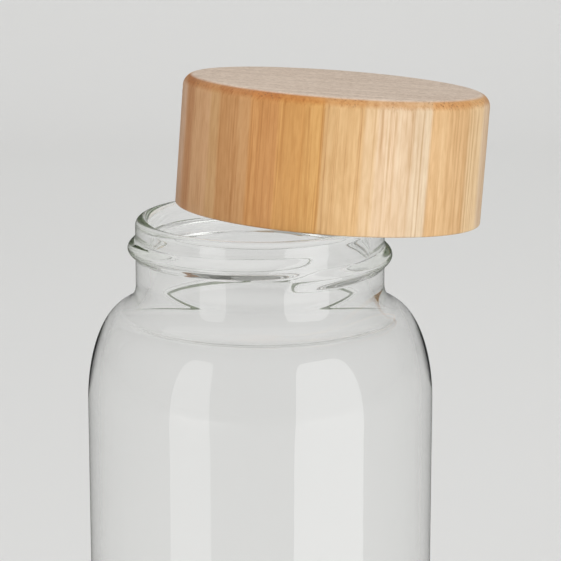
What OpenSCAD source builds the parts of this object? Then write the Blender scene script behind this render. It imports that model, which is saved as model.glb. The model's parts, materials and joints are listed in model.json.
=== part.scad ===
// Wide-mouth glass water bottle with a turned bamboo screw cap.
// The cap is drawn off its thread, lying tipped on the mouth of the glass.
// Frame: origin at the centre of the foot, +Z up along the axis of the glass.

/* [Glass] */
// Height of the glass from foot to mouth
glass_h = 210; // [180:1:260]
// Outside diameter of the body
body_d = 80; // [78:0.5:90]
// Outside diameter of the neck
neck_d = 57.2; // [57:0.1:58]
// Thickness of the body's wall
wall = 2.4; // [2:0.1:3]
// Thickness of the neck's wall
neck_wall = 3.3; // [2.6:0.1:3.6]
// Length of the straight neck below the mouth
neck_h = 15.6; // [15:0.2:20]
// Radius of the fillet where the neck meets the shoulder
neck_fillet_r = 5.6; // [4:0.1:6]
// Slope of the shoulder where the fillet ends, in degrees
shoulder_slope = 22.5; // [18:0.5:30]
// Part of a quarter ellipse that the shoulder takes up, in degrees
shoulder_turn = 80; // [74:1:82]
// Radius of the rounded heel round the foot
heel_r = 7; // [5:0.5:12]
// Thickness of the glass across the foot
foot_t = 5; // [4:0.5:8]
// Width of the flat standing ring inside the heel
stand_w = 4; // [2:0.5:8]
// Rise of the dished underside inside the standing ring
punt_rise = 1.6; // [1:0.1:3]

/* [Thread] */
// How far the rounded thread bead stands out of the neck
bead_out = 1.8; // [1:0.05:1.8]
// Half the height of the bead
bead_half_h = 2.3; // [2:0.1:2.4]
// Depth of the bead's centre line below the mouth, on the +X side
bead_depth = 8.5; // [8:0.1:9]
// Climb of the thread in one turn
thread_pitch = 3.3; // [3:0.1:4]
// Angle from +X where the bead starts
bead_start = -81; // [-100:1:-60]
// Angle swept by the bead
bead_sweep = 384; // [360:1:385]
// Angle over which each end of a thread fades out
thread_fade = 40; // [20:1:60]

/* [Cap] */
// Outside diameter of the bamboo cap
cap_d = 71.4; // [71:0.2:73]
// Height of the bamboo cap
cap_h = 30.4; // [30:0.2:34]
// Radius of the rounded top edge of the cap
cap_edge_r = 2.9; // [1:0.1:4]
// Radius of the softened bottom edge of the cap
cap_foot_r = 0.5; // [0.2:0.1:1]
// Thickness of the bamboo wall
cap_wall = 2.4; // [2:0.1:2.6]
// Wall of the threaded insert
insert_wall = 1.6; // [1.2:0.1:1.8]
// Thickness of the insert's crown
crown_t = 2; // [1.6:0.1:2.4]
// How far the insert's edge stops short of the bamboo's lower edge
insert_recess = 0.3; // [0.2:0.1:0.6]
// Depth of the groove that takes the neck, up to the seal
groove_h = 17.4; // [16:0.2:18]
// How far the insert's thread ridge stands inwards
ridge_in = 2.1; // [1.9:0.1:2.2]
// Half the height of the ridge
ridge_half_h = 1.1; // [0.8:0.1:1.2]
// Height of the ridge's centre line over the cap's lower edge, at its start
ridge_start_h = 4.2; // [4:0.1:5]
// Diameter of the plug that enters the mouth
plug_d = 48; // [46:0.5:49]
// Wall of the plug
plug_wall = 1.6; // [1.2:0.1:2]
// Height of the plug's closed underside over the cap's lower edge
plug_recess = 2.35; // [2.35:0.05:4]
// Diameter of the spigot that holds the plug in the insert's crown
spigot_d = 40; // [36:1:42]
// Thickness of the silicone seal
seal_t = 2; // [1.5:0.1:2.2]
// Play round the loose seal
seal_play = 0.3; // [0.2:0.05:0.4]

/* [Cap as laid on the mouth] */
// Shift of the cap's lower edge to the right of the glass axis
lay_x = 15.7; // [15.4:0.1:16]
// Shift of the cap's lower edge to the back of the glass axis
lay_y = 12.5; // [12.2:0.1:12.8]
// Height of the centre of the cap's lower edge over the mouth
lay_z = -1.5; // [-1.5:0.05:0]
// Lean of the cap towards the right
lay_lean_x = 4.1; // [4:0.1:4.2]
// Lean of the cap towards the back
lay_lean_y = 3.3; // [3.2:0.1:3.4]

/* [Hidden] */

$fn = 96;
// Steps along a small rounded edge, and along the rounded shoulder
ARC_STEPS = 6;
SHOULDER_STEPS = 14;
// Angle between two sections of a thread, and steps round a section
THREAD_STEP = 8;
SECTION_STEPS = 8;
// How far a thread's root reaches into the wall it stands on
ROOT = 0.7;
// Strength left at a thread's ends
END_STRENGTH = 0.25;

body_r = body_d / 2;
neck_r = neck_d / 2;
neck_foot_z = glass_h - neck_h;
bore_r = neck_r - neck_wall;
lip_r = neck_wall / 2;
shoulder_top_r = neck_r + neck_fillet_r * (1 - sin(shoulder_slope));
shoulder_w = (body_r - shoulder_top_r) / (1 - cos(shoulder_turn));
shoulder_drop = shoulder_w * tan(shoulder_slope) * tan(shoulder_turn);
shoulder_z = neck_foot_z - neck_fillet_r * cos(shoulder_slope) - shoulder_drop * sin(shoulder_turn);
// The same shoulder one wall further in, and the fillet that joins it to the bore
inner_w = shoulder_w - wall;
inner_drop = shoulder_drop - wall;
inner_turn = atan(inner_drop / (inner_w * tan(shoulder_slope)));
inner_top_r = body_r - shoulder_w + inner_w * cos(inner_turn);
inner_fillet_r = (inner_top_r - bore_r) / (1 - sin(shoulder_slope));
inner_fillet_z = shoulder_z + inner_drop * sin(inner_turn) + inner_fillet_r * cos(shoulder_slope);
stand_r = body_r - heel_r;
cap_r = cap_d / 2;
insert_r = cap_r - cap_wall;
skirt_r = insert_r - insert_wall;
crown_z = groove_h + seal_t + seal_play;
cavity_h = crown_z + crown_t;
plug_r = plug_d / 2;
spigot_r = spigot_d / 2;

// Points of an elliptic arc about c, from angle a0 to a1
function arc(c, rx, ry, a0, a1, steps) = [
    for (i = [0 : steps])
        let (a = a0 + (a1 - a0) * i / steps)
        [c[0] + rx * cos(a), c[1] + ry * sin(a)]
];

// Rises smoothly from 0 to 1
function ease(t) = let (s = min(1, max(0, t))) s * s * (3 - 2 * s);

// Strength of a thread at angle a along a sweep, lowest at its two ends
function fade(a, sweep) =
    END_STRENGTH + (1 - END_STRENGTH) * ease(a / thread_fade) * ease((sweep - a) / thread_fade);

// One section of a thread on a wall of radius r. out is negative for a thread that stands inwards.
function section(r, out, half_h, a, z, strength) =
    let (side = out < 0 ? -1 : 1, depth = abs(out) * strength + ROOT, h = half_h * (0.2 + 0.8 * strength))
    [for (i = [0 : SECTION_STEPS])
        let (t = -90 + 180 * i / SECTION_STEPS, x = r + side * (depth * pow(cos(t), 2) - ROOT))
        [x * cos(a), x * sin(a), z + h * sin(t)]];

// A right-hand thread on a wall of radius r, from angle start at height z0
module thread(r, out, half_h, start, sweep, z0) {
    n = ceil(sweep / THREAD_STEP);
    m = SECTION_STEPS + 1;
    rings = [
        for (i = [0 : n])
            let (a = sweep * i / n)
            section(r, out, half_h, start + a, z0 + thread_pitch * a / 360, fade(a, sweep))
    ];
    points = [for (ring = rings) for (p = ring) p];
    sides = [
        for (i = [0 : n - 1]) for (j = [0 : m - 1])
            let (k = (j + 1) % m)
            [i * m + j, i * m + k, (i + 1) * m + k, (i + 1) * m + j]
    ];
    split = [for (f = sides) each [[f[0], f[1], f[2]], [f[0], f[2], f[3]]]];
    ends = [[for (j = [m - 1 : -1 : 0]) j], [for (j = [0 : m - 1]) n * m + j]];
    faces = concat(split, ends);
    polyhedron(points, out < 0 ? [for (f = faces) [for (i = [len(f) - 1 : -1 : 0]) f[i]]] : faces);
}

// Right half of the outside of the glass, from the axis of the foot up to the mouth
function glass_outside() = concat(
    [[0, punt_rise], [stand_r - stand_w - 3 * punt_rise, punt_rise], [stand_r - stand_w, 0]],
    arc([stand_r, heel_r], heel_r, heel_r, -90, 0, ARC_STEPS),
    arc([body_r - shoulder_w, shoulder_z], shoulder_w, shoulder_drop, 0, shoulder_turn, SHOULDER_STEPS),
    arc([neck_r + neck_fillet_r, neck_foot_z], neck_fillet_r, neck_fillet_r,
        270 - shoulder_slope, 180, ARC_STEPS),
    arc([neck_r - lip_r, glass_h - lip_r], lip_r, lip_r, 0, 90, ARC_STEPS),
    [[0, glass_h]]
);

// Right half of the hollow, from the axis of the floor up past the mouth
function glass_hollow() = concat(
    [[0, foot_t]],
    arc([stand_r, foot_t + heel_r - wall], heel_r - wall, heel_r - wall, -90, 0, ARC_STEPS),
    arc([body_r - shoulder_w, shoulder_z], inner_w, inner_drop, 0, inner_turn, SHOULDER_STEPS),
    arc([bore_r + inner_fillet_r, inner_fillet_z], inner_fillet_r, inner_fillet_r,
        270 - shoulder_slope, 180, ARC_STEPS),
    arc([neck_r - lip_r, glass_h - lip_r], lip_r, lip_r, 180, 90, ARC_STEPS),
    [[neck_r - lip_r, glass_h + 1], [0, glass_h + 1]]
);

module glass_bottle() {
    bead_z = glass_h - bead_depth + thread_pitch * bead_start / 360;
    color([0.86, 0.92, 0.89, 0.4])
    difference() {
        union() {
            rotate_extrude()
                polygon(glass_outside());
            thread(neck_r, bead_out, bead_half_h, bead_start, bead_sweep, bead_z);
        }
        rotate_extrude()
            polygon(glass_hollow());
    }
}

// Puts what is drawn round the cap's own axis, lower edge at 0, where the cap lies on the mouth
module laid() {
    translate([lay_x, lay_y, glass_h + lay_z])
        rotate([-lay_lean_y, lay_lean_x, 0])
            children();
}

module cap_shell() {
    color([0.87, 0.66, 0.42])
    laid()
        rotate_extrude()
            polygon(concat(
                [[insert_r, cavity_h], [insert_r, 0]],
                arc([cap_r - cap_foot_r, cap_foot_r], cap_foot_r, cap_foot_r, -90, 0, ARC_STEPS),
                arc([cap_r - cap_edge_r, cap_h - cap_edge_r], cap_edge_r, cap_edge_r,
                    0, 90, ARC_STEPS),
                [[0, cap_h], [0, cavity_h]]
            ));
}

module threaded_insert() {
    color([0.93, 0.93, 0.9])
    laid()
        union() {
            rotate_extrude()
                polygon([
                    [skirt_r, insert_recess], [insert_r, insert_recess], [insert_r, cavity_h],
                    [spigot_r, cavity_h], [spigot_r, crown_z], [skirt_r, crown_z]
                ]);
            thread(skirt_r, -ridge_in, ridge_half_h, 0, 360, ridge_start_h);
        }
}

module inner_plug() {
    inside_r = plug_r - plug_wall;
    inside_z = plug_recess + plug_wall;
    color([0.9, 0.9, 0.87])
    laid()
        rotate_extrude()
            polygon(concat(
                [[0, plug_recess]],
                arc([plug_r - plug_wall, inside_z], plug_wall, plug_wall, -90, 0, ARC_STEPS),
                [
                    [plug_r, crown_z], [spigot_r, crown_z], [spigot_r, cavity_h],
                    [spigot_r - plug_wall, cavity_h], [spigot_r - plug_wall, crown_z - plug_wall],
                    [inside_r, crown_z - plug_wall], [inside_r, inside_z], [0, inside_z]
                ]
            ));
}

module seal_ring() {
    inner_r = plug_r + seal_play;
    outer_r = skirt_r - seal_play;
    color([0.95, 0.95, 0.93])
    laid()
        translate([0, 0, groove_h])
            difference() {
                cylinder(h = seal_t, r = outer_r);
                translate([0, 0, -1])
                    cylinder(h = seal_t + 2, r = inner_r);
            }
}

glass_bottle();
cap_shell();
threaded_insert();
inner_plug();
seal_ring();
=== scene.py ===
"""Looks of the glass water bottle with a bamboo screw cap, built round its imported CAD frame."""

import json
import math

import bpy
import numpy as np
from mathutils import Matrix, Vector


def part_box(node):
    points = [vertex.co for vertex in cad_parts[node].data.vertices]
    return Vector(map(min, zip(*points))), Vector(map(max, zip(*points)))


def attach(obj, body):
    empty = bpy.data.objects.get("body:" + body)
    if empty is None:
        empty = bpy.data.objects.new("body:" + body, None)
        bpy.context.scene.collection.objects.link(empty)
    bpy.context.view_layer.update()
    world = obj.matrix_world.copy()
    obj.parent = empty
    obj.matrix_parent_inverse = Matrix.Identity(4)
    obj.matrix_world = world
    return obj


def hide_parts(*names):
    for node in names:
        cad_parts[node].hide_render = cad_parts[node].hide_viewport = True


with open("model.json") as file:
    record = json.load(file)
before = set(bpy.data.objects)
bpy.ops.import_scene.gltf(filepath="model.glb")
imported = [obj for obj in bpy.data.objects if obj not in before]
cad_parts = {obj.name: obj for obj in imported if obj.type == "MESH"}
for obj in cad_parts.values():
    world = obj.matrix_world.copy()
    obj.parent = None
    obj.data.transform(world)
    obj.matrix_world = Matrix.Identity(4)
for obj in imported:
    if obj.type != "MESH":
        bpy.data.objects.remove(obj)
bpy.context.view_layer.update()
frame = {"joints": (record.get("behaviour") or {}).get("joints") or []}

MM = 0.001

# ---------------------------------------------------------------- sizes, in metres, as in the CAD design
GLASS_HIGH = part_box("glass_bottle")[1]
MOUTH_Z = GLASS_HIGH.z
BODY_R = GLASS_HIGH.x
NECK_R = 28.6 * MM
WALL = 2.4 * MM
NECK_WALL = 3.3 * MM
NECK_H = 15.6 * MM
NECK_FILLET = 5.6 * MM
SHOULDER_SLOPE = 22.5
SHOULDER_TURN = 80.0
HEEL_R = 7 * MM
FOOT_T = 5 * MM
STAND_W = 4 * MM
PUNT_RISE = 1.6 * MM

BEAD_OUT = 1.8 * MM
BEAD_HALF_H = 2.3 * MM
BEAD_DEPTH = 8.5 * MM
BEAD_START = -81.0
BEAD_SWEEP = 384.0
PITCH = 3.3 * MM
THREAD_FADE = 40.0

CAP_R = 35.7 * MM
CAP_H = 30.4 * MM
CAP_EDGE = 2.9 * MM
CAP_FOOT = 0.5 * MM
CAP_WALL = 2.4 * MM
INSERT_WALL = 1.6 * MM
INSERT_RECESS = 0.3 * MM
CROWN_T = 2 * MM
GROOVE_H = 17.4 * MM
SEAL_T = 2 * MM
SEAL_PLAY = 0.3 * MM
RIDGE_IN = 2.1 * MM
RIDGE_HALF_H = 1.1 * MM
RIDGE_START_H = 4.2 * MM
PLUG_R = 24 * MM
PLUG_WALL = 1.6 * MM
PLUG_RECESS = 2.35 * MM
SPIGOT_R = 20 * MM

INSERT_R = CAP_R - CAP_WALL
SKIRT_R = INSERT_R - INSERT_WALL
CROWN_Z = GROOVE_H + SEAL_T + SEAL_PLAY
CAVITY_H = CROWN_Z + CROWN_T

CAP_TURN = next(j for j in frame["joints"] if j["name"] == "cap_turn")


def cap_place():
    """The frame of the cap as it lies: lower edge centre, with Z along its own axis."""
    up = Vector(CAP_TURN["axis"]).normalized()
    right = Vector((up.z, 0, -up.x)).normalized()
    place = Matrix((right, up.cross(right), up)).transposed().to_4x4()
    place.translation = Vector(CAP_TURN["pos_m"])
    return place


# ---------------------------------------------------------------- turned meshes
SHARP_ANGLE = 38.0


def arc(centre, rx, rz, start, end, steps):
    """Points of an elliptic arc, from angle start to end in degrees."""
    angles = np.radians(np.linspace(start, end, steps + 1))
    return [(centre[0] + rx * math.cos(a), centre[1] + rz * math.sin(a)) for a in angles]


def line(start, end, step):
    """Points along a straight stretch, no further apart than step, without its last point."""
    n = max(1, math.ceil(math.dist(start, end) / step))
    return [(start[0] + (end[0] - start[0]) * i / n, start[1] + (end[1] - start[1]) * i / n)
            for i in range(n)]


def path(points, step):
    """Points along a chain of straight stretches, with its last point."""
    out = []
    for start, end in zip(points, points[1:]):
        out += line(start, end, step)
    return out + [points[-1]]


def ease(t):
    """A smooth step from 0 to 1."""
    t = np.clip(t, 0, 1)
    return t * t * (3 - 2 * t)


def thread_height(angle, z, start, sweep, z_start, half_h, reach):
    """How far a rounded right-hand thread stands off its wall at (angle in degrees, z)."""
    total = np.zeros(np.broadcast(angle, z).shape)
    for turn in range(3):
        along = (angle - start) % 360 + 360 * turn
        inside = along <= sweep
        strength = ease(along / THREAD_FADE) * ease((sweep - along) / THREAD_FADE)
        s = (z - z_start - PITCH * along / 360) / half_h
        bump = reach * strength * np.clip(1 - s * s, 0, 1) ** 1.3
        total = total + np.where(inside, bump, 0) ** 3
    return np.cbrt(total)


def turned(name, outline, segments=240, closed=False, relief=None):
    """A mesh turned about Z from an outline of (r, z) points. relief(r, z, angle) moves r."""
    outline = np.array(outline, float)
    rings = [p for p in outline if p[0] > 1e-9]
    angle = np.arange(segments) * 360.0 / segments
    r = np.array([p[0] for p in rings])[:, None] * np.ones(segments)
    z = np.array([p[1] for p in rings])[:, None] * np.ones(segments)
    if relief:
        r = r + relief(r, z, angle[None, :] * np.ones_like(r))
    a = np.radians(angle)
    verts = np.stack([r * np.cos(a), r * np.sin(a), z], -1).reshape(-1, 3).tolist()
    faces = []
    n = len(rings)
    for i in range(n if closed else n - 1):
        low, high = i * segments, (i + 1) % n * segments
        for j in range(segments):
            k = (j + 1) % segments
            faces.append((low + j, low + k, high + k, high + j))
    for end, ring in ((0, 0), (-1, n - 1)):
        if outline[end][0] <= 1e-9:
            verts.append((0.0, 0.0, float(outline[end][1])))
            tip, base = len(verts) - 1, ring * segments
            for j in range(segments):
                k = (j + 1) % segments
                faces.append((tip, base + k, base + j) if end == 0 else (tip, base + j, base + k))
    mesh = bpy.data.meshes.new(name)
    mesh.from_pydata(verts, [], faces)
    mesh.update()
    mesh.shade_smooth()
    mesh.set_sharp_from_angle(angle=math.radians(SHARP_ANGLE))
    piece = bpy.data.objects.new(name, mesh)
    bpy.context.scene.collection.objects.link(piece)
    return piece


def fit(piece, material, node, body, place=None):
    """Gives a finished piece its material and place, parents it to its body, and hides the CAD part it
    stands in for.
    """
    piece.data.materials.append(material)
    if place is not None:
        piece.matrix_world = place
    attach(piece, body)
    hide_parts(node)


# ---------------------------------------------------------------- pieces
def glass_outline():
    """From the middle of the dished underside, up the outside, over the mouth and down the inside."""
    stand_r = BODY_R - HEEL_R
    ring_r = stand_r - STAND_W
    dish_r = ring_r - 3 * PUNT_RISE
    floor_c = (stand_r, FOOT_T + HEEL_R - WALL)
    lip = NECK_WALL / 2
    bore_r = NECK_R - NECK_WALL
    slope, turn = math.radians(SHOULDER_SLOPE), math.radians(SHOULDER_TURN)

    # Outside: a sloping elliptic shoulder, then a hollow fillet that runs into the neck
    neck_foot = MOUTH_Z - NECK_H
    fillet_c = (NECK_R + NECK_FILLET, neck_foot)
    shoulder_w = (BODY_R - NECK_R - NECK_FILLET * (1 - math.sin(slope))) / (1 - math.cos(turn))
    shoulder_h = shoulder_w * math.tan(slope) * math.tan(turn)
    shoulder_c = (BODY_R - shoulder_w,
                  neck_foot - NECK_FILLET * math.cos(slope) - shoulder_h * math.sin(turn))

    # Inside: the same shoulder one wall further in, with the same slope at its top
    inner_w, inner_h = shoulder_w - WALL, shoulder_h - WALL
    inner_turn = math.atan(inner_h / (inner_w * math.tan(slope)))
    inner_fillet = (shoulder_c[0] + inner_w * math.cos(inner_turn) - bore_r) / (1 - math.sin(slope))
    inner_c = (bore_r + inner_fillet,
               shoulder_c[1] + inner_h * math.sin(inner_turn) + inner_fillet * math.cos(slope))

    out = path([(0, PUNT_RISE), (dish_r, PUNT_RISE)], 3 * MM)
    out += [(dish_r + (ring_r - dish_r) * t, PUNT_RISE * (1 - ease(t))) for t in np.linspace(0, 1, 9)[1:]]
    out += arc((stand_r, HEEL_R), HEEL_R, HEEL_R, -90, 0, 16)
    out += path([(BODY_R, HEEL_R), (BODY_R, shoulder_c[1])], 6 * MM)[1:-1]
    out += arc(shoulder_c, shoulder_w, shoulder_h, 0, SHOULDER_TURN, 48)
    out += arc(fillet_c, NECK_FILLET, NECK_FILLET, 270 - SHOULDER_SLOPE, 180, 24)[1:]
    out += path([(NECK_R, neck_foot), (NECK_R, MOUTH_Z - lip)], 0.25 * MM)[1:-1]
    out += arc((NECK_R - lip, MOUTH_Z - lip), lip, lip, 0, 180, 24)
    out += path([(bore_r, MOUTH_Z - lip), (bore_r, inner_c[1])], 1.5 * MM)[1:-1]
    out += arc(inner_c, inner_fillet, inner_fillet, 180, 270 - SHOULDER_SLOPE, 30)
    out += arc(shoulder_c, inner_w, inner_h, math.degrees(inner_turn), 0, 48)[1:]
    out += path([(BODY_R - WALL, shoulder_c[1]), (BODY_R - WALL, floor_c[1])], 6 * MM)[1:-1]
    out += arc(floor_c, HEEL_R - WALL, HEEL_R - WALL, 0, -90, 12)
    out += path([(stand_r, FOOT_T), (0, FOOT_T)], 3 * MM)[1:]
    return out


def bead_relief(r, z, angle):
    """The rounded thread on the outside of the neck."""
    z_start = MOUTH_Z - BEAD_DEPTH + PITCH * BEAD_START / 360
    height = thread_height(angle, z, BEAD_START, BEAD_SWEEP, z_start, BEAD_HALF_H, BEAD_OUT)
    return np.where(r > NECK_R - WALL / 4, height, 0)


def make_glass(material):
    glass = turned("glass_bottle_clear", glass_outline(), 288, relief=bead_relief)
    fit(glass, material, "glass_bottle", "bottle")
    return glass


def make_cap_shell(material, place):
    edge = arc((CAP_R - CAP_EDGE, CAP_H - CAP_EDGE), CAP_EDGE, CAP_EDGE, 0, 90, 14)
    foot = arc((CAP_R - CAP_FOOT, CAP_FOOT), CAP_FOOT, CAP_FOOT, -90, 0, 6)
    lip = 0.3 * MM
    outline = path([(0, CAVITY_H), (INSERT_R, CAVITY_H), (INSERT_R, lip)], 2 * MM)
    outline += [(INSERT_R + lip, 0)] + foot
    outline += path([(CAP_R, CAP_FOOT), (CAP_R, CAP_H - CAP_EDGE)], 2 * MM)[1:-1]
    outline += edge + path([(CAP_R - CAP_EDGE, CAP_H), (0, CAP_H)], 2 * MM)[1:]
    shell = turned("bamboo_cap_shell", outline, 300)
    fit(shell, material, "cap_shell", "cap", place)
    return shell


def make_insert(material, place):
    soft = 0.3 * MM
    low, high = INSERT_RECESS, CAVITY_H
    outline = arc((SKIRT_R + soft, low + soft), soft, soft, 180, 270, 4)
    outline += arc((INSERT_R - soft, low + soft), soft, soft, -90, 0, 4)
    outline += path([(INSERT_R, low + soft), (INSERT_R, high), (SPIGOT_R, high), (SPIGOT_R, CROWN_Z)],
                    2 * MM)[1:]
    outline += path([(SPIGOT_R, CROWN_Z), (SKIRT_R, CROWN_Z)], 2 * MM)[1:]
    outline += path([(SKIRT_R, CROWN_Z), (SKIRT_R, low + soft)], 0.2 * MM)[1:-1]

    def ridge(r, z, angle):
        height = thread_height(angle, z, 0, 360, RIDGE_START_H, RIDGE_HALF_H, RIDGE_IN)
        return np.where(abs(r - SKIRT_R) < 0.01 * MM, -height, 0)

    insert = turned("threaded_insert_moulded", outline, 240, closed=True, relief=ridge)
    fit(insert, material, "threaded_insert", "cap", place)
    return insert


def make_plug(material, place):
    low, inside_z = PLUG_RECESS, PLUG_RECESS + PLUG_WALL
    inside_r = PLUG_R - PLUG_WALL
    outline = path([(0, low), (inside_r, low)], 2 * MM)
    outline += arc((inside_r, inside_z), PLUG_WALL, PLUG_WALL, -90, 0, 10)[1:]
    outline += path([(PLUG_R, inside_z), (PLUG_R, CROWN_Z), (SPIGOT_R, CROWN_Z), (SPIGOT_R, CAVITY_H),
                     (SPIGOT_R - PLUG_WALL, CAVITY_H), (SPIGOT_R - PLUG_WALL, CROWN_Z - PLUG_WALL),
                     (inside_r, CROWN_Z - PLUG_WALL), (inside_r, inside_z), (0, inside_z)], 2 * MM)[1:]
    plug = turned("inner_plug_moulded", outline, 240)
    fit(plug, material, "inner_plug", "cap", place)
    return plug


def make_seal(material, place):
    soft = 0.4 * MM
    inner, outer = PLUG_R + SEAL_PLAY, SKIRT_R - SEAL_PLAY
    low, high = GROOVE_H, GROOVE_H + SEAL_T
    outline = arc((inner + soft, low + soft), soft, soft, 180, 270, 5)
    outline += arc((outer - soft, low + soft), soft, soft, -90, 0, 5)
    outline += arc((outer - soft, high - soft), soft, soft, 0, 90, 5)
    outline += arc((inner + soft, high - soft), soft, soft, 90, 180, 5)
    seal = turned("silicone_seal_ring", outline, 240, closed=True)
    fit(seal, material, "seal_ring", "seal", place)
    return seal


# ---------------------------------------------------------------- materials
class Graph:
    """A short way to write a material's nodes."""

    def __init__(self, name):
        self.material = bpy.data.materials.new(name)
        self.material.use_nodes = True
        self.tree = self.material.node_tree
        self.tree.nodes.clear()
        self.output = self.tree.nodes.new("ShaderNodeOutputMaterial")

    def node(self, kind, inputs=None, **settings):
        made = self.tree.nodes.new("ShaderNode" + kind)
        for key, value in settings.items():
            setattr(made, key, value)
        for key, value in (inputs or {}).items():
            if isinstance(value, bpy.types.NodeSocket):
                self.tree.links.new(value, made.inputs[key])
            else:
                made.inputs[key].default_value = value
        return made

    def math(self, operation, a, b=0.0, c=0.0):
        return self.node("Math", {0: a, 1: b, 2: c}, operation=operation).outputs[0]

    def ramp(self, factor, stops, interpolation="LINEAR"):
        made = self.node("ValToRGB", {"Fac": factor})
        ramp = made.color_ramp
        ramp.interpolation = interpolation
        ramp.elements[1].position = stops[-1][0]
        ramp.elements[0].position = stops[0][0]
        for position, _ in stops[1:-1]:
            ramp.elements.new(position)
        for element, (_, colour) in zip(ramp.elements, stops):
            element.color = (*colour, 1)
        return made.outputs["Color"]

    def mix(self, factor, a, b, blend="MIX"):
        made = self.node("Mix", data_type="RGBA", blend_type=blend)
        for index, value in ((0, factor), (6, a), (7, b)):
            if isinstance(value, bpy.types.NodeSocket):
                self.tree.links.new(value, made.inputs[index])
            else:
                made.inputs[index].default_value = value if index == 0 else (*value, 1)
        return made.outputs[2]

    def finish(self, shader):
        self.tree.links.new(shader, self.output.inputs["Surface"])
        return self.material


def grey(v):
    return (v, v, v)


def clear_glass():
    """Clear glass with a faint green depth colour and the slight waviness of a drawn wall."""
    g = Graph("clear_glass")
    place = g.node("TexCoord").outputs["Object"]
    stretched = g.node("Mapping", {"Vector": place, "Scale": (45, 45, 9)})
    waves = g.node("TexNoise", {"Vector": stretched.outputs["Vector"], "Scale": 1.0, "Detail": 1.5})
    bump = g.node("Bump", {"Height": waves.outputs["Fac"], "Strength": 0.06, "Distance": 0.0004})
    glass = g.node("BsdfPrincipled", {
        "Base Color": (1, 1, 1, 1), "Roughness": 0.0, "IOR": 1.48, "Transmission Weight": 1.0,
        "Normal": bump.outputs["Normal"]})
    depth = g.node("VolumeAbsorption", {"Color": (0.50, 0.72, 0.20, 1), "Density": 2.0})
    g.tree.links.new(depth.outputs["Volume"], g.output.inputs["Volume"])
    return g.finish(glass.outputs["BSDF"])


# Strips of the laminated block across the cap's front, left to right: right edge in mm, and colour.
# The narrow dark ones are glue lines and dense rind. The colours also hold painted shade and light:
# they run darker to the left and lighter to the right, as the light falls from the right front.
STRIP_TONES_AND_SHADE = [
    (-34.3, (0.61, 0.40, 0.26)), (-32.5, (0.51, 0.26, 0.12)), (-28.6, (0.59, 0.34, 0.17)),
    (-26.5, (0.59, 0.35, 0.16)), (-24.6, (0.53, 0.27, 0.105)), (-19.6, (0.56, 0.295, 0.12)),
    (-13.4, (0.60, 0.295, 0.10)), (-7.6, (0.62, 0.32, 0.10)), (-3.4, (0.655, 0.36, 0.12)),
    (5.6, (0.68, 0.43, 0.20)), (8.6, (0.70, 0.48, 0.265)), (16.6, (0.76, 0.56, 0.36)),
    (20.6, (0.81, 0.635, 0.435)), (29.6, (0.79, 0.51, 0.255)), (33.4, (0.86, 0.62, 0.355)),
    (36.0, (0.78, 0.58, 0.39)),
]
STRIP_SPAN = 36.0
STRIP_BLEND = 0.35
BACK_SQUEEZE = 0.9


def strip_and_shade_stops():
    """The strips, with their painted shade and light, as stops of a colour ramp, from 0 at the left of
    the block to 1 at its right.
    """
    stops, left = [], -STRIP_SPAN
    for right, colour in STRIP_TONES_AND_SHADE:
        for edge in (left + STRIP_BLEND, right - STRIP_BLEND):
            stops.append(((edge + STRIP_SPAN) / (2 * STRIP_SPAN), colour))
        left = right
    return stops


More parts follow.
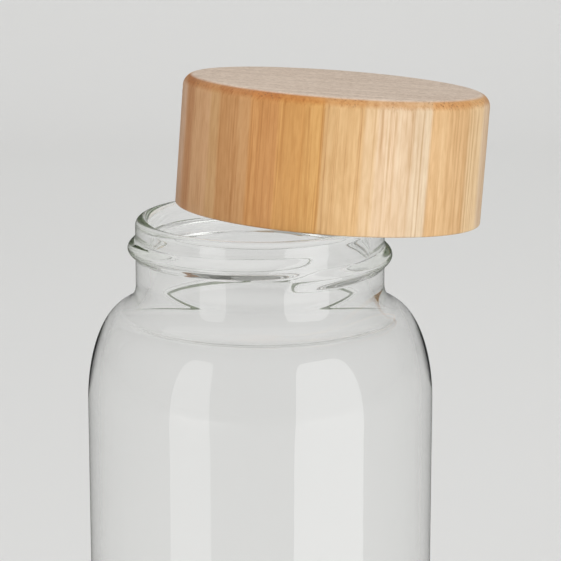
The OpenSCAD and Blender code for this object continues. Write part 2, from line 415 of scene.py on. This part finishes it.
def bamboo():
    """Laminated bamboo: upright strips with fine fibres, darker to the left in painted shade and lighter
    to the right in painted light, and end grain on the top.
    """
    g = Graph("laminated_bamboo")
    coords = g.node("TexCoord")
    spot = coords.outputs["Object"]
    split = g.node("SeparateXYZ", {"Vector": spot})

    def noise(scale, stretch, detail=2.0, roughness=0.55):
        place = g.node("Mapping", {"Vector": spot, "Scale": stretch}).outputs["Vector"]
        return g.node("TexNoise", {"Vector": place, "Scale": scale, "Detail": detail,
                                   "Roughness": roughness}).outputs["Fac"]

    # The back of the block shows the same strips in the other order, and a little wider
    behind = g.math("GREATER_THAN", split.outputs["Y"], 0.0)
    way = g.math("MULTIPLY_ADD", behind, -(1 + BACK_SQUEEZE), 1.0)
    x = g.math("MULTIPLY", split.outputs["X"], way)
    across = g.math("MULTIPLY_ADD", x, 0.5 / (STRIP_SPAN * MM), 0.5)
    waver = noise(70.0, (1, 1, 0.4), 1.0)
    across = g.math("ADD", across, g.math("MULTIPLY_ADD", waver, 0.012, -0.006))
    # The strip colours carry painted shade on the left and painted light on the right
    strips = g.ramp(across, strip_and_shade_stops())

    fibres = noise(1500.0, (1, 1, 0.012), 3.0, 0.65)
    bundles = noise(520.0, (1, 1, 0.01), 2.0)
    flecks = noise(1300.0, (1, 1, 0.16), 2.0)
    patches = noise(110.0, (1, 1, 0.35), 2.0)
    side = g.mix(1.0, strips, g.ramp(fibres, [(0.30, (0.80, 0.70, 0.60)), (0.47, grey(1.0)),
                                              (0.70, (1.06, 1.12, 1.20))]), "MULTIPLY")
    side = g.mix(1.0, side, g.ramp(bundles, [(0.32, (0.95, 0.92, 0.89)), (0.66, (1.03, 1.04, 1.06))]),
                 "MULTIPLY")
    side = g.mix(1.0, side, g.ramp(flecks, [(0.30, (0.93, 0.89, 0.84)), (0.60, (1.03, 1.04, 1.06))]),
                 "MULTIPLY")
    side = g.mix(1.0, side, g.ramp(patches, [(0.32, (0.96, 0.93, 0.89)), (0.62, grey(1.02))]),
                 "MULTIPLY")

    # End grain, with faint rows of strips and the dark dots of the vessels. Its pale greyish-beige tone
    # is partly the wood's own and partly a painted sheen of the light from above
    rows = noise(260.0, (0.06, 1, 1), 2.0)
    grain = noise(900.0, (1, 1, 1), 3.0, 0.7)
    top = g.ramp(rows, [(0.30, (0.71, 0.575, 0.465)), (0.50, (0.785, 0.645, 0.53)),
                        (0.72, (0.85, 0.71, 0.59))])
    top = g.mix(1.0, top, g.ramp(grain, [(0.32, (0.80, 0.77, 0.73)), (0.60, grey(1.07))]), "MULTIPLY")
    dots = g.node("TexVoronoi", {"Vector": spot, "Scale": 1250.0}).outputs["Distance"]
    dense = noise(150.0, (1, 1, 1), 1.0)
    dots = g.math("MULTIPLY", g.ramp(dots, [(0.16, grey(1)), (0.34, grey(0))]),
                  g.ramp(dense, [(0.42, grey(0)), (0.62, grey(1))]))
    top = g.mix(g.math("MULTIPLY", dots, 0.42), top, (0.34, 0.18, 0.08))

    # Round the edge the cut fibres drink more oil, and the dots stand out
    tilt = g.node("SeparateXYZ", {"Vector": coords.outputs["Normal"]}).outputs["Z"]
    edge = g.mix(1.0, side, (0.88, 0.72, 0.56), "MULTIPLY")
    edge = g.mix(g.math("MULTIPLY", dots, 0.75), edge, (0.26, 0.11, 0.04))
    colour = g.mix(g.ramp(tilt, [(0.25, grey(0)), (0.60, grey(1))]), side, edge)
    # Where the surface faces up the pale top takes over, with its painted sheen
    colour = g.mix(g.ramp(tilt, [(0.86, grey(0)), (0.985, grey(1))]), colour, top)

    relief = g.math("ADD", g.math("MULTIPLY", fibres, 0.7), g.math("MULTIPLY", flecks, 0.3))
    bump = g.node("Bump", {"Height": relief, "Strength": 0.22, "Distance": 0.0002})
    rough = g.node("MapRange", {"Value": bundles, "To Min": 0.38, "To Max": 0.54})
    wood = g.node("BsdfPrincipled", {
        "Base Color": colour, "Roughness": rough.outputs["Result"], "Normal": bump.outputs["Normal"]})
    return g.finish(wood.outputs["BSDF"])


def moulded_plastic(name, colour, roughness, spread):
    """Natural moulded plastic with a fine spark-eroded surface."""
    g = Graph(name)
    spot = g.node("TexCoord").outputs["Object"]
    grain = g.node("TexNoise", {"Vector": spot, "Scale": 3500.0, "Detail": 2.0})
    cloud = g.node("TexNoise", {"Vector": spot, "Scale": 90.0, "Detail": 2.0})
    tone = g.ramp(cloud.outputs["Fac"], [(0.3, tuple(c * (1 - spread) for c in colour)), (0.7, colour)])
    bump = g.node("Bump", {"Height": grain.outputs["Fac"], "Strength": 0.15, "Distance": 0.00005})
    rough = g.node("MapRange", {"Value": cloud.outputs["Fac"],
                                "To Min": roughness - 0.05, "To Max": roughness + 0.05})
    body = g.node("BsdfPrincipled", {
        "Base Color": tone, "Roughness": rough.outputs["Result"], "Normal": bump.outputs["Normal"],
        "Subsurface Weight": 0.2, "Subsurface Radius": (0.002, 0.002, 0.0018), "Subsurface Scale": 1.0})
    return g.finish(body.outputs["BSDF"])


def stage_paint():
    g = Graph("stage_paint")
    spot = g.node("TexCoord").outputs["Object"]
    cloud = g.node("TexNoise", {"Vector": spot, "Scale": 1.2, "Detail": 1.0})
    tone = g.ramp(cloud.outputs["Fac"], [(0.3, (0.80, 0.80, 0.79)), (0.7, (0.82, 0.82, 0.81))])
    paint = g.node("BsdfPrincipled", {"Base Color": tone, "Roughness": 0.9, "Specular IOR Level": 0.1})
    return g.finish(paint.outputs["BSDF"])


# ---------------------------------------------------------------- stage, light and camera
WORLD_GREY = 0.44
BOX_R = 0.098
BOX_HEIGHT = (0.002, 0.236)
TENT_R, TENT_FOOT, TENT_TOP = 0.105, 0.001, 0.30


def make_stage(material):
    """A pale floor that sweeps up into a backdrop."""
    half_w, front, back, bend, top = 2.6, -2.6, 1.6, 0.35, 2.2
    outline = [(front, 0.0), (back - bend, 0.0)]
    outline += [(back - bend + bend * math.sin(a), bend - bend * math.cos(a))
                for a in np.radians(np.linspace(0, 90, 25))[1:]]
    outline += [(back, top)]
    verts = [(side * half_w, y, z) for y, z in outline for side in (-1, 1)]
    faces = [(2 * i, 2 * i + 1, 2 * i + 3, 2 * i + 2) for i in range(len(outline) - 1)]
    mesh = bpy.data.meshes.new("sweep")
    mesh.from_pydata(verts, [], faces)
    mesh.shade_smooth()
    mesh.materials.append(material)
    sweep = bpy.data.objects.new("sweep", mesh)
    bpy.context.scene.collection.objects.link(sweep)


def area_light(name, place, target, size, power):
    """A rectangular light that no ray sees. The cards below are what the glass mirrors."""
    data = bpy.data.lights.new(name, "AREA")
    data.shape = "RECTANGLE"
    data.size, data.size_y = size
    data.energy = power
    lamp = bpy.data.objects.new(name, data)
    lamp.location = place
    lamp.rotation_euler = (Vector(target) - Vector(place)).to_track_quat("-Z", "Y").to_euler()
    lamp.visible_camera = False
    lamp.visible_glossy = False
    lamp.visible_transmission = False
    bpy.context.scene.collection.objects.link(lamp)


def card(name, verts, faces, strength):
    """A studio card that only reflections can see."""
    g = Graph(name)
    paint = g.node("Emission", {"Color": (1, 1, 1, 1), "Strength": strength})
    material = g.finish(paint.outputs["Emission"])
    material.cycles.emission_sampling = "NONE"
    mesh = bpy.data.meshes.new(name)
    mesh.from_pydata(verts, [], faces)
    mesh.materials.append(material)
    piece = bpy.data.objects.new(name, mesh)
    bpy.context.scene.collection.objects.link(piece)
    piece.visible_camera = False
    piece.visible_diffuse = False
    piece.visible_shadow = False
    piece.visible_volume_scatter = False
    piece.visible_transmission = False


def softbox(name, side, strength):
    """A lit card curved round the bottle. side is its range of azimuth, rightwards from the camera."""
    verts, faces = [], []
    columns, rows = 40, 24
    for i in range(columns + 1):
        u = 2 * i / columns - 1
        azimuth = math.radians((side[0] + side[1]) / 2 + u * (side[1] - side[0]) / 2)
        reach = (1 - abs(u) ** 6) ** (1 / 3)
        for j in range(rows + 1):
            z = BOX_HEIGHT[0] + (BOX_HEIGHT[1] - BOX_HEIGHT[0]) * reach * j / rows
            verts.append((BOX_R * math.sin(azimuth), -BOX_R * math.cos(azimuth), z))
    for i in range(columns):
        for j in range(rows):
            k = i * (rows + 1) + j
            faces.append((k, k + 1, k + rows + 2, k + rows + 1))
    card(name, verts, faces, strength)


def dim_tent(strength):
    """A dim wall all round the bottle. It draws the outlines of the glass."""
    verts, faces = [], []
    columns = 72
    for i in range(columns):
        a = 2 * math.pi * i / columns
        for z in (TENT_FOOT, TENT_TOP):
            verts.append((TENT_R * math.cos(a), TENT_R * math.sin(a), z))
        k = 2 * (i + 1) % (2 * columns)
        faces.append((2 * i, k, k + 1, 2 * i + 1))
    card("tent", verts, faces, strength)


def make_light():
    world = bpy.data.worlds.new("studio")
    bpy.context.scene.world = world
    world.use_nodes = True
    background = world.node_tree.nodes["Background"]
    background.inputs["Color"].default_value = (*grey(WORLD_GREY), 1)
    background.inputs["Strength"].default_value = 1.0
    centre = (0, 0, 0.15)
    area_light("key_right", (0.95, -0.75, 0.55), centre, (0.9, 1.1), 7)
    area_light("fill_left", (-0.8, -1.0, 0.45), centre, (0.9, 0.9), 7)
    area_light("overhead", (0, 0.6, 1.8), (0, 0.6, 0), (2.4, 2.2), 13)
    softbox("softbox_right", (17, 59), 2.4)
    softbox("softbox_left", (-49.5, -25), 1.7)
    dim_tent(0.05)


# Focal length over image width, and the distance and direction of the camera from the mouth
FOCAL = 2500 / 561
DISTANCE = 0.5728
RISE = 11.8
AIM_RIGHT, AIM_UP = 4.70 * MM, 14.62 * MM


def make_camera():
    """Looks along +Y and down, with the mouth of the bottle left of centre and above it."""
    data = bpy.data.cameras.new("camera")
    data.sensor_width = 36
    data.lens = 36 * FOCAL
    data.clip_start = 0.01
    camera = bpy.data.objects.new("camera", data)
    pitch = math.radians(RISE) + math.atan2(AIM_UP, DISTANCE)
    forward = Vector((0, math.cos(pitch), -math.sin(pitch)))
    up = Vector((0, math.sin(pitch), math.cos(pitch)))
    mouth = Vector((0, 0, MOUTH_Z))
    camera.location = mouth - forward * DISTANCE - up * AIM_UP + Vector((AIM_RIGHT, 0, 0))
    camera.rotation_euler = (math.pi / 2 - pitch, 0, 0)
    bpy.context.scene.collection.objects.link(camera)
    bpy.context.scene.camera = camera


def set_renderer():
    """Many bounces, because light runs a long way inside the rim before it leaves the glass."""
    scene = bpy.context.scene
    scene.view_settings.view_transform = "Standard"
    scene.cycles.max_bounces = 128
    scene.cycles.transmission_bounces = 128
    scene.cycles.glossy_bounces = 128
    scene.cycles.transparent_max_bounces = 16
    scene.cycles.sample_clamp_indirect = 6.0
    scene.cycles.blur_glossy = 0.5


set_renderer()
make_camera()
make_light()
make_stage(stage_paint())

make_glass(clear_glass())
CAP_PLACE = cap_place()
make_cap_shell(bamboo(), CAP_PLACE)
make_insert(moulded_plastic("insert_polypropylene", (0.82, 0.82, 0.78), 0.42, 0.05), CAP_PLACE)
make_plug(moulded_plastic("plug_polypropylene", (0.80, 0.80, 0.76), 0.38, 0.05), CAP_PLACE)
make_seal(moulded_plastic("seal_silicone", (0.84, 0.84, 0.82), 0.55, 0.04), CAP_PLACE)
